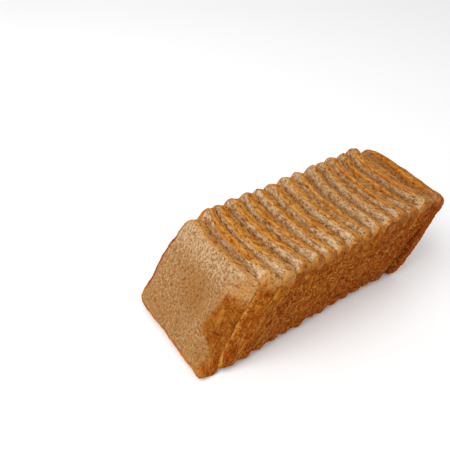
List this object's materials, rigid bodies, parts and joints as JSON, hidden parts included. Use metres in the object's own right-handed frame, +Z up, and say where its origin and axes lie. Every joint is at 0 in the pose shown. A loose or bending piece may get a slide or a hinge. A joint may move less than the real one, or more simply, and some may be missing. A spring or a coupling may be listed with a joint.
{
  "type": "sliced tin loaf",
  "caption": "Sliced square tin loaf, fanned out and leaning back: flat-cut bread slices with a brown crust all round, standing against each other and ending in a rounded heel.",
  "frame": {"origin": "on the surface the loaf stands on, under the middle of its bounding box", "axes": "+X along the row of slices, from the cut front slice towards the heel; +Y across the loaf; +Z up. The slices lean back towards +X"},
  "size_m": [0.3, 0.1202, 0.1024],
  "materials": {
    "crumb": "matt and porous, pale brown with small dark bran specks, browned at the crust",
    "crust": "matt, baked red-brown, freckled with darker spots"
  },
  "bodies": {
    "root": {"slice_01": "crumb", "slice_02": "crumb", "slice_03": "crumb", "slice_04": "crumb", "slice_05": "crumb", "slice_06": "crumb", "slice_07": "crumb", "slice_08": "crumb", "slice_09": "crumb", "slice_10": "crumb", "slice_11": "crumb", "slice_12": "crumb", "slice_13": "crumb", "slice_14": "crumb", "slice_15": "crumb", "heel": "crust"}
  },
  "joints": []
}
